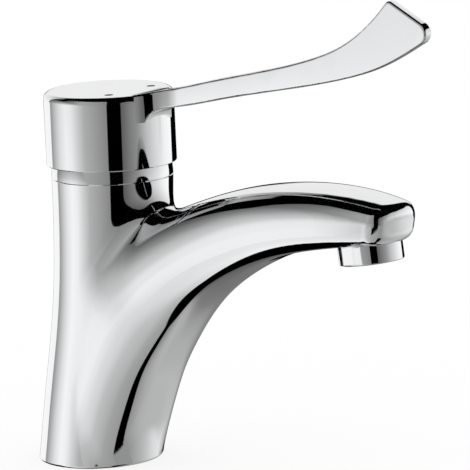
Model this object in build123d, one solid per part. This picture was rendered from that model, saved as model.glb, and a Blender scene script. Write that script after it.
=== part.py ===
"""A basin mixer tap worked by a long elbow lever, built piece by piece in its working place.

Lengths are millimetres. The origin is the centre of the base on the deck.
X points along the spout and Z is up. The tap stands closed, with the lever straight ahead.
"""

from build123d import *

import math
import os

os.makedirs("parts", exist_ok=True)

# Clearances and cuts
overrun = 1.0
fit = 0.05
moving_gap = 0.3

# Column and neck of the body casting
base_radius = 23.8
waist_slimness = 0.5
neck_wall = 2.4
neck_height = 110.2
neck_lean = 12.8
footing_depth = 14.0
footing_lean = 2.2
footing_spread = 0.6
base_edge_round = 1.0
neck_blend_radius = 8.0
column_height_shares = (0.0, 0.24, 0.45, 0.61, 0.75, 0.88, 1.0)
column_lean_shares = (0.0, 0.30, 0.61, 0.80, 0.90, 0.96, 1.0)

# Spout of the body casting
spout_length = 141.5
spout_root_share = 0.7983
spout_nose_half_width = 15.0
spout_nose_round = 4.5
spout_section_count = 15
spout_section_points = 32
spout_front_shares = (
    (0.7134, 0.0, -0.127), (0.874, 0.0, 0.0), (0.981, 0.0, 0.077), (1.0, 0.0394, 0.2),
    (1.0, 0.0863, 0.309), (1.0, 0.1585, 0.426), (1.0, 0.2486, 0.544), (1.0, 0.3628, 0.649),
    (1.0, 0.4951, 0.73), (1.0, 0.6309, 0.788), (1.0, 0.7668, 0.823), (1.0, 0.9026, 0.847),
    (1.0, 1.0, 0.86),
)
spout_crown_shares = (
    (0.0553, 0.0, -0.127), (0.0711, 0.0, 0.0), (0.083, 0.0, 0.077), (0.1383, 0.0, 0.218),
    (0.1937, 0.0, 0.363), (0.2648, 0.0, 0.526), (0.419, 0.0, 0.708), (1.0, 0.0214, 0.869),
    (1.0, 0.2289, 0.949), (1.0, 0.4177, 1.0), (1.0, 0.6265, 1.028), (1.0, 0.8434, 1.027),
    (1.0, 1.0268, 0.999),
)
spout_width_shares = (0.88, 0.88, 0.88, 0.88, 0.95, 1.0, 1.0, 0.90, 0.70, 0.50, 0.33, 0.18, 0.0)
crown_squareness = (2.2, 2.2, 2.2, 2.2, 2.2, 2.3, 2.3, 2.4, 2.5, 2.6, 2.6, 2.7, 2.7)
front_squareness = (3.0, 3.0, 3.0, 3.0, 3.1, 3.3, 3.6, 3.8, 4.0, 4.2, 4.5, 4.8, 5.0)
nose_round_angles = (20.0, 40.0, 60.0, 78.0)

# Hollow base, hose inlets and fixing stud
cavity_height = 38.0
foot_wall = 1.6
cavity_mouth_height = 5.0
cavity_narrowing = 1.0
cavity_roof_x = 8.0
inlet_thread_radius = 4.6
inlet_thread_depth = 14.0
inlet_thread_x = 9.5
inlet_thread_y = 9.0
inlet_way_radius = 2.0
stud_hole_radius = 3.4
stud_hole_depth = 12.0
stud_hole_x = -1.0
gasket_width = 2.2
gasket_land = 2.0
gasket_thickness = 1.5

# Cartridge layout, all about the neck axis
cartridge_radius = 17.5
housing_wall = 1.9
housing_roof = 1.6
base_plate_height = 7.0
base_plate_flange = 2.0
fixed_disc_thickness = 4.0
moving_disc_thickness = 4.0
inlet_port_x = 5.6
inlet_port_y = 4.5
inlet_port_radius = 2.1
outlet_port_x = -2.6
outlet_port_radius = 3.1
seal_ring_width = 1.1
seal_ring_height = 1.5
seat_pin_radius = 1.5
seat_pin_length = 2.5
seat_pin_inset = 3.0
pocket_depth = 2.0
pocket_length = 13.6
pocket_half_width = 4.5
carrier_plate_height = 3.0
carrier_peg_radius = 1.2
carrier_peg_depth = 2.2
carrier_peg_x = -2.0
carrier_peg_y = 9.0
socket_sink = 1.0
socket_wall = 1.3
socket_height = 4.6
collar_shoulder = 5.0
collar_wall = 1.2
collar_rise = 3.5

# Spindle and its holder
lift_angle = 24.0
swivel_angle = 45.0
spindle_side = 8.0
spindle_arm = 13.7
spindle_ball_radius = 3.0
spindle_shank_radius = 2.4
spindle_eye_radius = 5.2
spindle_rise = 27.7
spindle_edge = 0.6
pin_radius = 1.5
pin_end_gap = 0.6
holder_rise = 5.3
holder_slot_wall = 2.6
stop_tab_width = 3.0
stop_tab_height = 1.4
stop_tab_reach = 1.8
stop_ring_wall = 2.0
stop_ring_height = 2.0
stop_ring_skirt = 2.0

# Clamping nut and cover ring
nut_thread_land = 1.5
nut_thread_height = 5.0
nut_hex_step = 4.0
nut_hex_height = 5.0
neck_mouth_step = 1.6
cover_skirt_wall = 2.2
cover_wall = 1.2
cover_flange = 1.5
cover_lip = 5.0
cover_skirt_height = 4.8
ring_cord_radius = 0.6
ring_groove_depth = 1.2
ring_groove_height = 1.5

# Lever casting
cap_clearance = 0.5
cap_rim_gap = 4.8
cap_height = 27.8
cap_wall = 1.1
cap_upper_wall = 2.4
cap_roof = 3.0
cap_top_round = 2.6
cap_rim_round = 0.4
cap_taper_start = 8.0
cap_taper_end = 14.0
boss_radius = 9.0
boss_drop = 9.8
boss_rib_width = 8.4
adaptor_radius = 6.9
adaptor_length = 8.0
screw_radius = 2.5
screw_length = 8.0
screw_socket_across = 2.5
screw_socket_depth = 2.5
mark_radius = 1.65
mark_depth = 0.6
mark_forward = 10.8
mark_aside = 12.1
lever_length = 155.6
lever_rise = 40.1
lever_thickness = 4.0
lever_root_flare = 16.0
lever_gusset_drop = 5.0
lever_gusset_bite = 0.5
lever_edge_round = 0.9
lever_tip_upper_round = 2.0
lever_tip_lower_round = 4.1
lever_top_shares = (
    (0.0, 0.0, 0.0), (0.762, 0.0, 0.0), (1.0, 0.0611, 0.055), (1.0, 0.2095, 0.16),
    (1.0, 0.4053, 0.292), (1.0, 0.562, 0.419), (1.0, 0.6665, 0.546), (1.0, 0.7697, 0.768),
    (1.0, 0.841, 1.0),
)
lever_bottom_shares = (
    (1.0, 1.0, 0.716), (1.0, 0.9157, 0.559), (1.0, 0.8137, 0.394), (1.0, 0.6617, 0.242),
    (1.0, 0.454, 0.112), (1.0, 0.2427, -0.012), (1.0, 0.0742, -0.117), (1.0, 0.0374, -0.131),
)

# Outlet fittings
outlet_reach_share = 0.954
outlet_height_share = 0.7913
outlet_tilt = 6.5
aerator_radius = 11.9
aerator_flat_across = 22.4
aerator_visible_height = 7.2
aerator_thread_radius = 11.3
aerator_thread_height = 7.5
aerator_bore_radius = 9.5
aerator_lip_radius = 8.7
aerator_lip_height = 1.2
aerator_edge_round = 0.5
insert_height = 6.0
insert_hole_radius = 0.85
insert_hole_rows = 4
insert_hole_pitch = 2.3
screen_rise = 2.4
screen_wall = 0.5
washer_height = 1.6
washer_inner_radius = 9.0
mixing_chamber_radius = 8.0
mixing_chamber_height = 3.0
throat_radius = 3.0
throat_drop_share = 0.576
throat_bend = 5.0
throat_front_shares = (0.240, 0.662)
waterway_radius = 5.5
waterway_bend = 30.0
waterway_middle_shares = ((0.466, 0.839), (0.742, 0.926))

# Heights and radii that follow from the sizes above
axis_x = neck_lean
nut_thread_radius = cartridge_radius + nut_thread_land
neck_mouth_radius = nut_thread_radius + neck_mouth_step
neck_radius = neck_mouth_radius + neck_wall
waist_radius = neck_radius - waist_slimness
cap_radius = neck_radius + cap_clearance + cap_wall
collar_radius = cartridge_radius - collar_shoulder
nut_hex_across = 2 * (nut_thread_radius - nut_hex_step)
cover_opening_radius = neck_radius - cover_lip
gasket_outer_radius = base_radius - gasket_land
gasket_inner_radius = gasket_outer_radius - gasket_width
cavity_mouth_radius = gasket_inner_radius - foot_wall
spout_root_half_width = base_radius * spout_root_share
seat_pin_y = cartridge_radius - seat_pin_inset
outlet_x = spout_length * outlet_reach_share
outlet_height = neck_height * outlet_height_share
throat_front_x = spout_length * throat_front_shares[0]
throat_front_height = neck_height * throat_front_shares[1]
pivot_height = neck_height
nut_top = neck_height
nut_seat = nut_top - nut_hex_height - nut_thread_height
disc_top_stack = base_plate_height + fixed_disc_thickness + moving_disc_thickness
lift_radians = math.radians(lift_angle)
disc_travel = spindle_arm * math.sin(lift_radians)
disc_rest_x = -disc_travel / 2
ball_height = pivot_height - spindle_arm
socket_foot = ball_height - spindle_ball_radius - moving_gap
carrier_base = socket_foot - carrier_plate_height + socket_sink
cartridge_seat = carrier_base - disc_top_stack
throat_drop = (cartridge_seat - cavity_height) * throat_drop_share
base_plate_top = cartridge_seat + base_plate_height
fixed_disc_top = base_plate_top + fixed_disc_thickness
carrier_top = carrier_base + carrier_plate_height
socket_radius = spindle_ball_radius + moving_gap + socket_wall
housing_bore_radius = cartridge_radius - housing_wall
moving_disc_radius = housing_bore_radius - disc_travel / 2 - moving_gap
housing_ceiling = nut_seat - housing_roof
collar_bore_radius = collar_radius - collar_wall
collar_top = pivot_height + collar_rise
holder_radius = collar_bore_radius - moving_gap
pin_half_length = holder_radius - pin_end_gap
holder_top = pivot_height + holder_rise
seat_bore_radius = cartridge_radius + fit * 2
thread_bore_radius = nut_thread_radius + fit * 2
mouth_depth = nut_hex_height - fit
cover_radius = neck_radius
cap_rim = neck_height + cap_rim_gap
cap_top = cap_rim + cap_height
cap_bore_radius = cap_radius - cap_wall
cap_upper_radius = cap_radius - cap_upper_wall
cap_ceiling = cap_top - cap_roof
boss_bottom = cap_ceiling - boss_drop
screw_height = boss_bottom + adaptor_length / 2


def cylinder(radius, height, x=0.0, y=0.0, z=0.0):
    """An upright cylinder standing on the height z."""
    return Solid.make_cylinder(radius, height, Plane(origin=(x, y, z)))


def cross_cylinder(radius, half_length, x, z):
    """A cylinder along Y, centred on the middle plane."""
    plane = Plane(origin=(x, -half_length, z), z_dir=(0, 1, 0))
    return Solid.make_cylinder(radius, 2 * half_length, plane)


def block(x_range, half_width, z_range):
    """A box between two X places and two heights, centred on the middle plane."""
    corner = Plane(origin=(x_range[0], -half_width, z_range[0]))
    return Solid.make_box(x_range[1] - x_range[0], 2 * half_width, z_range[1] - z_range[0], corner)


def turned(points):
    """A solid turned about the neck axis from (radius, height) corners."""
    corners = [Vector(axis_x + radius, 0, height) for radius, height in points]
    face = Face(Wire.make_polygon(corners, close=True))
    return Solid.revolve(face, 360, Axis((axis_x, 0, 0), (0, 0, 1)))


def washer(inner, outer, height, x, y, z):
    """A flat ring standing on the height z."""
    return cylinder(outer, height, x, y, z) - cylinder(inner, height + 2 * overrun, x, y, z - overrun)


def one_solid(shape):
    """The single solid inside a boolean result."""
    return max(shape.solids(), key=lambda piece: piece.volume)


def round_wire(radius, x, height):
    """A level circle whose seam lies at the back of the tap."""
    return Wire([Edge.make_circle(radius, Plane(origin=(x, 0, height), x_dir=(-1, 0, 0)))])


def column():
    """The round column that leans forward into the upright neck."""
    footing_radius = base_radius + footing_spread
    rings = [round_wire(footing_radius, -footing_lean, -footing_depth)]
    for up, lean in zip(column_height_shares, column_lean_shares):
        radius = waist_radius
        radius += (base_radius - waist_radius) * (1 - up) ** 3
        radius += (neck_radius - waist_radius) * up**6
        rings.append(round_wire(radius, neck_lean * lean, neck_height * up))
    return Solid.make_loft(rings)


def power_curve(angle, exponent):
    """Cosine and sine raised so that a circle swells towards a rectangle."""
    parts = []
    for value in (math.cos(angle), math.sin(angle)):
        size = abs(value) if abs(value) > 1e-9 else 0.0
        parts.append(math.copysign(size ** (2 / exponent), value))
    return parts


def spout_section(front, crown, half_width, crown_power, front_power):
    """A closed outline between the front line and the crown line of the spout."""
    centre = (front + crown) / 2
    half = (crown - front) / 2
    points = []
    for index in range(spout_section_points):
        angle = 2 * math.pi * index / spout_section_points + math.pi / 2
        upper = math.sin(angle) > 1e-9
        across, along = power_curve(angle, crown_power if upper else front_power)
        points.append(centre + half * along + Vector(0, half_width * across, 0))
    return Wire([Edge.make_spline(points, periodic=True)])


def share_at(place, places, shares):
    """A share read between the stations of a table."""
    for index in range(1, len(places)):
        if place <= places[index] + 1e-9:
            step = (place - places[index - 1]) / (places[index] - places[index - 1])
            return shares[index - 1] + (shares[index] - shares[index - 1]) * step
    return shares[-1]


def spout_line(shares, root):
    """Points of the spout's outline, inside the column by shares of its root and then by shares of its reach."""
    return [
        Vector(root * inner + (spout_length - root) * outer, 0, neck_height * up)
        for inner, outer, up in shares
    ]


def spout_stations():
    """The front and crown points of the spout, and how far along each station lies."""
    front = spout_line(spout_front_shares, base_radius)
    crown = spout_line(spout_crown_shares, axis_x + neck_radius)
    travelled = [0.0]
    for index in range(1, len(front)):
        front_step = (front[index] - front[index - 1]).length
        crown_step = (crown[index] - crown[index - 1]).length
        travelled.append(travelled[-1] + (front_step + crown_step) / 2)
    return front, crown, [distance / travelled[-1] for distance in travelled]


def spout_outlines():
    """The sections of the spout from below the deck to the start of the nose."""
    front, crown, places = spout_stations()
    front_line = Edge.make_spline(front, parameters=places)
    crown_line = Edge.make_spline(crown, parameters=places)
    outlines = []
    for index in range(spout_section_count):
        place = index / (spout_section_count - 1)
        wide = share_at(place, places, spout_width_shares)
        half_width = spout_nose_half_width + (spout_root_half_width - spout_nose_half_width) * wide
        outlines.append((
            front_line.position_at(place),
            crown_line.position_at(place),
            half_width,
            share_at(place, places, crown_squareness),
            share_at(place, places, front_squareness),
        ))
    return outlines


def nose_outlines(last):
    """Ever smaller sections that round the end of the spout."""
    front, crown, half_width, crown_power, front_power = last
    up = (crown - front).normalized()
    out = Vector(up.Z, 0, -up.X)
    outlines = [last]
    for angle in nose_round_angles:
        inset = spout_nose_round * (1 - math.cos(math.radians(angle)))
        advance = out * (spout_nose_round * math.sin(math.radians(angle)))
        lower = front + up * inset + advance
        upper = crown - up * inset + advance
        outlines.append((lower, upper, half_width - inset, crown_power, front_power))
    return outlines


def is_neck_crease(edge):
    """Whether an edge is the crease where the spout leaves the column."""
    bounds = edge.bounding_box()
    wide = bounds.size.Y > waist_radius
    tall = bounds.size.Z > neck_height / 2
    return wide and tall


def body_outside():
    """The cast outside of the body: column, neck and spout in one flowing form."""
    outlines = spout_outlines()
    spout = Solid.make_loft([spout_section(*outline) for outline in outlines])
    nose = Solid.make_loft([spout_section(*outline) for outline in nose_outlines(outlines[-1])])
    form = one_solid(column() + spout + nose)
    form = form.fillet(neck_blend_radius, [edge for edge in form.edges() if is_neck_crease(edge)])
    reach = spout_length + base_radius
    below = block((-reach, reach), reach, (-footing_depth - overrun, 0))
    form = one_solid(form - below)
    foot = [edge for edge in form.edges() if edge.bounding_box().max.Z < overrun / 2]
    return form.fillet(base_edge_round, foot)


def base_cavity():
    """The hollow for hoses and stud inside the foot of the body."""
    foot = round_wire(cavity_mouth_radius, 0, cavity_mouth_height)
    roof = round_wire(cavity_mouth_radius - cavity_narrowing, cavity_roof_x, cavity_height)
    mouth = cylinder(cavity_mouth_radius, cavity_mouth_height + overrun, 0, 0, -overrun)
    return Solid.make_loft([foot, roof]) + mouth


def inlet_way(side):
    """The slanting bore from a hose thread up to its port in the cartridge seat."""
    start = Vector(inlet_thread_x, side * inlet_thread_y, cavity_height + inlet_thread_depth)
    end = Vector(axis_x + inlet_port_x, side * inlet_port_y, cartridge_seat)
    along = (end - start).normalized()
    plane = Plane(origin=start - along * overrun, z_dir=along)
    return Solid.make_cylinder(inlet_way_radius, (end - start).length + 2 * overrun, plane)


def body_ways():
    """Bores for the hoses, the stud, the cartridge, its nut and the cover ring."""
    cuts = []
    thread_foot = cavity_height - overrun
    for side in (-1, 1):
        thread_y = side * inlet_thread_y
        depth = inlet_thread_depth + overrun
        cuts.append(cylinder(inlet_thread_radius, depth, inlet_thread_x, thread_y, thread_foot))
        cuts.append(inlet_way(side))
    cuts.append(cylinder(stud_hole_radius, stud_hole_depth + overrun, stud_hole_x, 0, thread_foot))
    bore_length = neck_height - cartridge_seat + overrun
    cuts.append(cylinder(seat_bore_radius, bore_length, axis_x, 0, cartridge_seat))
    thread_length = neck_height - nut_seat + overrun
    cuts.append(cylinder(thread_bore_radius, thread_length, axis_x, 0, nut_seat - fit))
    cuts.append(cylinder(neck_mouth_radius, mouth_depth + overrun, axis_x, 0, neck_height - mouth_depth))
    for side in (-1, 1):
        depth = seat_pin_length + fit
        pin_y = side * seat_pin_y
        cuts.append(cylinder(seat_pin_radius + fit, depth + overrun, axis_x, pin_y, cartridge_seat - depth))
    return cuts


def outlet_plane(rise):
    """A plane across the tilted outlet axis, a distance above its mouth."""
    tilt = math.radians(outlet_tilt)
    up = Vector(-math.sin(tilt), 0, math.cos(tilt))
    return Plane(origin=Vector(outlet_x, 0, outlet_height) + up * rise, x_dir=(0, 1, 0), z_dir=up)


def outlet_ring(outer, inner, start, end):
    """A ring or, with no inner radius, a disc on the outlet axis."""
    ring = Solid.make_cylinder(outer, end - start, outlet_plane(start))
    if inner > 0:
        ring = ring - Solid.make_cylinder(inner, end - start + 2 * overrun, outlet_plane(start - overrun))
    return ring


def pipe(points, bend, radius):
    """A round channel along straight runs joined by tangent bends."""
    path = FilletPolyline(*points, radius=bend)
    start = Plane(origin=path @ 0, z_dir=path % 0)
    return Solid.sweep(Face(Wire([Edge.make_circle(radius, start)])), path.wire())


def water_ways():
    """The channel from the cartridge to the outlet bore."""
    outlet_place = axis_x + outlet_port_x
    throat = pipe(
        [
            (outlet_place, 0, cartridge_seat + overrun),
            (outlet_place, 0, cartridge_seat - throat_drop),
            (throat_front_x, 0, throat_front_height),
        ],
        throat_bend,
        throat_radius,
    )
    middle = [(spout_length * x, 0, neck_height * z) for x, z in waterway_middle_shares]
    chamber = outlet_plane(aerator_visible_height + aerator_thread_height + washer_height)
    last = chamber.origin
    spout_way = pipe(
        [(throat_front_x, 0, throat_front_height), *middle, (last.X, 0, last.Z)],
        waterway_bend,
        waterway_radius,
    )
    elbow = Solid.make_sphere(waterway_radius, Plane(origin=(throat_front_x, 0, throat_front_height)))
    return [throat, spout_way, elbow]


def outlet_bores():
    """The seat, thread bore and chamber that take the outlet fittings."""
    thread_start = aerator_visible_height
    washer_top = thread_start + aerator_thread_height + washer_height
    seat = outlet_ring(aerator_radius + moving_gap, 0, -aerator_visible_height, thread_start)
    bore = outlet_ring(aerator_thread_radius + fit * 2, 0, thread_start - overrun, washer_top)
    chamber_top = washer_top + mixing_chamber_height
    chamber = outlet_ring(mixing_chamber_radius, 0, washer_top - overrun, chamber_top)
    return [seat, bore, chamber]


def gasket_ring(clearance):
    """The base gasket, or its groove when given a clearance."""
    inner = gasket_inner_radius - clearance
    outer = gasket_outer_radius + clearance
    return washer(inner, outer, gasket_thickness + clearance, 0, 0, 0)


def body():
    """The hollow brass body."""
    solid = body_outside() - base_cavity()
    groove = gasket_ring(fit) + washer(gasket_inner_radius - fit, gasket_outer_radius + fit, overrun, 0, 0, -overrun)
    for cut in [groove, *body_ways(), *water_ways(), *outlet_bores()]:
        solid = solid - cut
    return one_solid(solid)


def port_places():
    """The three ports of the cartridge about the neck axis, each with its radius."""
    inlets = [(axis_x + inlet_port_x, side * inlet_port_y, inlet_port_radius) for side in (-1, 1)]
    return [*inlets, (axis_x + outlet_port_x, 0, outlet_port_radius)]


def seal_rings(height, clearance=0.0):
    """One rubber ring round each port, or their grooves when given a clearance."""
    rings = []
    for x, y, radius in port_places():
        outer = radius + seal_ring_width + clearance
        rings.append(washer(radius - clearance, outer, seal_ring_height + clearance, x, y, height))
    return rings


def cartridge_base():
    """The moulded plate that carries the ports and locates in the body."""
    plate = cylinder(cartridge_radius - fit, base_plate_flange, axis_x, 0, cartridge_seat)
    plate = plate + cylinder(housing_bore_radius - fit, base_plate_height, axis_x, 0, cartridge_seat)
    for side in (-1, 1):
        pin_foot = cartridge_seat - seat_pin_length
        pin = cylinder(seat_pin_radius, seat_pin_length + overrun, axis_x, side * seat_pin_y, pin_foot)
        plate = plate + pin
    for x, y, radius in port_places():
        plate = plate - cylinder(radius, base_plate_height + 2 * overrun, x, y, cartridge_seat - overrun)
    lower_grooves = seal_rings(cartridge_seat - fit, fit)
    upper_grooves = seal_rings(base_plate_top - seal_ring_height - fit, fit * 2)
    for groove in [*lower_grooves, *upper_grooves]:
        plate = plate - groove
    return one_solid(plate)


def fixed_ceramic_disc():
    """The lower disc with the three ports."""
    disc = cylinder(housing_bore_radius - fit, fixed_disc_thickness, axis_x, 0, base_plate_top)
    for x, y, radius in port_places():
        disc = disc - cylinder(radius, fixed_disc_thickness + 2 * overrun, x, y, base_plate_top - overrun)
    return one_solid(disc)


def mixing_pocket():
    """The long pocket under the upper disc that joins the ports when it slides forward."""
    middle_x = axis_x + pocket_half_width - pocket_length / 2
    outline = SlotOverall(pocket_length, 2 * pocket_half_width)
    face = Plane(origin=(middle_x, 0, fixed_disc_top - overrun)) * outline
    return extrude(face, pocket_depth + overrun)


def carrier_pegs(clearance):
    """The two pegs that hold the upper disc to its carrier."""
    pegs = []
    for side in (-1, 1):
        depth = carrier_peg_depth + clearance
        foot = carrier_base - depth
        x = axis_x + carrier_peg_x
        pegs.append(cylinder(carrier_peg_radius + clearance, depth + overrun, x, side * carrier_peg_y, foot))
    return pegs


def moving_ceramic_disc():
    """The upper disc with its mixing pocket, at the closed place."""
    x = axis_x + disc_rest_x
    disc = cylinder(moving_disc_radius, moving_disc_thickness, x, 0, fixed_disc_top)
    disc = disc - mixing_pocket()
    for hole in carrier_pegs(fit):
        disc = disc - hole
    return one_solid(disc)


def disc_carrier():
    """The slide that takes the ball of the spindle and drives the upper disc."""
    plate = cylinder(moving_disc_radius, carrier_plate_height, axis_x + disc_rest_x, 0, carrier_base)
    carrier = plate + cylinder(socket_radius, socket_height, axis_x, 0, carrier_top)
    for peg in carrier_pegs(0.0):
        carrier = carrier + peg
    socket = cylinder(spindle_ball_radius + moving_gap, neck_height - socket_foot, axis_x, 0, socket_foot)
    return one_solid(carrier - socket)


def cartridge_housing():
    """The shell of the cartridge with its narrow collar."""
    foot = cartridge_seat + base_plate_flange
    shell = turned([
        (housing_bore_radius, foot),
        (cartridge_radius, foot),
        (cartridge_radius, nut_seat),
        (collar_radius, nut_seat),
        (collar_radius, collar_top),
        (collar_bore_radius, collar_top),
        (collar_bore_radius, housing_ceiling),
        (housing_bore_radius, housing_ceiling),
    ])
    return one_solid(shell)


def spindle_holder():
    """The turning guide that carries the spindle pin and slides the carrier."""
    flange_foot = carrier_top + moving_gap
    flange_top = housing_ceiling - fit
    holder = cylinder(housing_bore_radius - moving_gap, flange_top - flange_foot, axis_x, 0, flange_foot)
    holder = holder + cylinder(holder_radius, holder_top - flange_foot, axis_x, 0, flange_foot)
    tab_start = axis_x - holder_radius - stop_tab_reach
    tab_foot = holder_top - stop_tab_height
    holder = holder + block((tab_start, axis_x), stop_tab_width / 2, (tab_foot, holder_top))
    slot_half_length = holder_radius - holder_slot_wall
    slot_range = (axis_x - slot_half_length, axis_x + slot_half_length)
    slot_half_width = spindle_side / 2 + moving_gap
    holder = holder - block(slot_range, slot_half_width, (flange_foot - overrun, holder_top + overrun))
    guide_back = axis_x - socket_radius - moving_gap
    guide_front = axis_x + disc_travel + socket_radius + moving_gap
    guide_top = carrier_top + socket_height + moving_gap
    guide = block((guide_back, guide_front), socket_radius + moving_gap, (flange_foot - overrun, guide_top))
    bore = cross_cylinder(pin_radius + fit, pin_half_length, axis_x, pivot_height)
    return one_solid(holder - guide - bore)


def spindle():
    """The square stem with its eye, its lower arm and its ball."""
    top = pivot_height + spindle_rise
    half = spindle_side / 2
    stem = block((axis_x - half, axis_x + half), half, (pivot_height, top))
    stem = stem.chamfer(spindle_edge, None, stem.edges().group_by(Axis.Z)[-1])
    stem = stem + cross_cylinder(spindle_eye_radius, half, axis_x, pivot_height)
    stem = stem + cylinder(spindle_shank_radius, spindle_arm, axis_x, 0, ball_height)
    stem = stem + Solid.make_sphere(spindle_ball_radius, Plane(origin=(axis_x, 0, ball_height)))
    bore = cross_cylinder(pin_radius + fit * 2, spindle_side, axis_x, pivot_height)
    return one_solid(stem - bore)


def spindle_pin():
    """The steel pin through the holder and the eye of the spindle."""
    return cross_cylinder(pin_radius, pin_half_length, axis_x, pivot_height)


def temperature_limiter():
    """The stop ring on the cartridge collar, with the notch that the holder's tab turns in."""
    inner = collar_bore_radius
    outer = collar_radius + stop_ring_wall
    ring = turned([
        (inner, collar_top),
        (collar_radius + fit, collar_top),
        (collar_radius + fit, collar_top - stop_ring_skirt),
        (outer, collar_top - stop_ring_skirt),
        (outer, collar_top + stop_ring_height),
        (inner, collar_top + stop_ring_height),
    ])
    notch_radius = holder_radius + stop_tab_reach + moving_gap
    tab_angle = math.degrees(math.asin((stop_tab_width / 2 + moving_gap) / holder_radius))
    half_angle = swivel_angle + tab_angle
    sector_plane = Plane(origin=(axis_x, 0, collar_top), x_dir=(-1, 0, 0))
    sector = Solid.make_cylinder(notch_radius, stop_ring_height + overrun, sector_plane, 2 * half_angle)
    sector = sector.rotate(Axis((axis_x, 0, 0), (0, 0, 1)), -half_angle)
    return one_solid(ring - sector)


def cartridge_nut():
    """The threaded ring nut with a hexagon for the spanner."""
    nut = cylinder(nut_thread_radius, nut_thread_height, axis_x, 0, nut_seat)
    hexagon = RegularPolygon(nut_hex_across / 2, 6, major_radius=False)
    face = Plane(origin=(axis_x, 0, nut_seat + nut_thread_height)) * hexagon
    nut = nut + extrude(face, nut_hex_height)
    hole_height = nut_thread_height + nut_hex_height + 2 * overrun
    return one_solid(nut - cylinder(collar_radius + fit * 2, hole_height, axis_x, 0, nut_seat - overrun))


def sphere_band(radius, low, high):
    """The part of a ball about the spindle pin between two heights above the pin."""
    ball = Solid.make_sphere(radius, Plane(origin=(axis_x, 0, pivot_height)), -90, 90)
    reach = radius + overrun
    slab = block((axis_x - reach, axis_x + reach), reach, (pivot_height + low, pivot_height + high))
    return ball & slab


def cover_ring():
    """The domed cover ring, whose outside is a ball about the spindle pin."""
    dome_top = math.sqrt(cover_radius**2 - cover_opening_radius**2)
    dome = sphere_band(cover_radius, 0, dome_top) - sphere_band(cover_radius - cover_wall, cover_flange, cover_radius)
    skirt_outer = neck_mouth_radius - fit * 2
    skirt_inner = skirt_outer - cover_skirt_wall
    skirt_foot = neck_height - cover_skirt_height
    skirt = cylinder(skirt_outer, cover_skirt_height + fit, axis_x, 0, skirt_foot)
    through = cylinder(skirt_inner, 2 * cover_radius, axis_x, 0, skirt_foot - overrun)
    shell = dome + skirt - through
    groove_foot = neck_height - (cover_skirt_height + ring_groove_height) / 2
    groove = washer(skirt_outer - ring_groove_depth, neck_radius, ring_groove_height, axis_x, 0, groove_foot)
    return one_solid(shell - groove)


def cover_ring_seal():
    """The O-ring that grips the cover ring in the neck."""
    centre_radius = neck_mouth_radius - fit - ring_cord_radius
    height = neck_height - cover_skirt_height / 2
    return Solid.make_torus(centre_radius, ring_cord_radius, Plane(origin=(axis_x, 0, height)))


def base_gasket():
    """The rubber ring in the foot of the body."""
    return gasket_ring(0.0)


def cap_shell():
    """The round outside of the cap, with its seam at the back."""
    foot = Plane(origin=(axis_x, 0, cap_rim), x_dir=(-1, 0, 0))
    outside = Solid.make_cylinder(cap_radius, cap_height, foot)
    outside = outside.fillet(cap_top_round, outside.edges().group_by(Axis.Z)[-1])
    return outside.fillet(cap_rim_round, outside.edges().group_by(Axis.Z)[0])


def cap_hollow():
    """The space inside the cap that swings over the cover ring."""
    rim = cap_rim - overrun
    taper_start = pivot_height + cap_taper_start
    taper_end = pivot_height + cap_taper_end
    return turned([
        (0, rim),
        (cap_bore_radius, rim),
        (cap_bore_radius, taper_start),
        (cap_upper_radius, taper_end),
        (cap_upper_radius, cap_ceiling),
        (0, cap_ceiling),
    ])


def lever_line(shares):
    """Points of the lever's side view, inside the cap by shares of its radius and then by shares of its reach."""
    return [
        Vector(axis_x + cap_radius * inner + (lever_length - cap_radius) * outer, 0, cap_top + lever_rise * up)
        for inner, outer, up in shares
    ]


def lever_side_face():
    """The side view of the lever, from inside the cap to the tip."""
    top = lever_line(lever_top_shares)
    bottom = lever_line(lever_bottom_shares)
    underside = Edge.make_spline(bottom)
    root = Vector(axis_x + cap_radius - lever_gusset_bite, 0, bottom[-1].Z - lever_gusset_drop)
    inside = Vector(axis_x, 0, root.Z)
    edges = [
        Edge.make_line(top[0], top[1]),
        Edge.make_spline(top[1:]),
        Edge.make_line(top[-1], bottom[0]),
        underside,
        Edge.make_tangent_arc(bottom[-1], underside.tangent_at(1), root),
        Edge.make_line(root, inside),
        Edge.make_line(inside, top[0]),
    ]
    return Face(Wire(edges))


def lever_plan():
    """The lever seen from above: a thin blade that flares to meet the cap."""
    half = lever_thickness / 2
    centre_y = half + lever_root_flare
    reach = cap_radius + lever_root_flare
    centre_x = math.sqrt(reach**2 - centre_y**2)
    touch_x = centre_x * cap_radius / reach
    touch_y = centre_y * cap_radius / reach
    angle = math.atan2(centre_y, centre_x)
    middle_angle = (-math.pi / 2 + angle - math.pi) / 2
    middle_x = centre_x + lever_root_flare * math.cos(middle_angle)
    middle_y = centre_y + lever_root_flare * math.sin(middle_angle)
    far = lever_length + overrun
    edges = []
    for side in (-1, 1):
        edges.append(ThreePointArc(
            (axis_x + touch_x, side * touch_y, 0),
            (axis_x + middle_x, side * middle_y, 0),
            (axis_x + centre_x, side * half, 0),
        ))
        edges.append(Edge.make_line((axis_x + centre_x, side * half, 0), (axis_x + far, side * half, 0)))
        edges.append(Edge.make_line((axis_x, 0, 0), (axis_x + touch_x, side * touch_y, 0)))
    edges.append(Edge.make_line((axis_x + far, -half, 0), (axis_x + far, half, 0)))
    return Face(Wire(edges))


def is_blade_edge(edge):
    """Whether an edge bounds one of the two flat sides of the lever lengthwise."""
    bounds = edge.bounding_box()
    on_side = bounds.size.Y < fit and abs(abs(edge.center().Y) - lever_thickness / 2) < fit
    return on_side and bounds.size.X > fit


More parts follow.
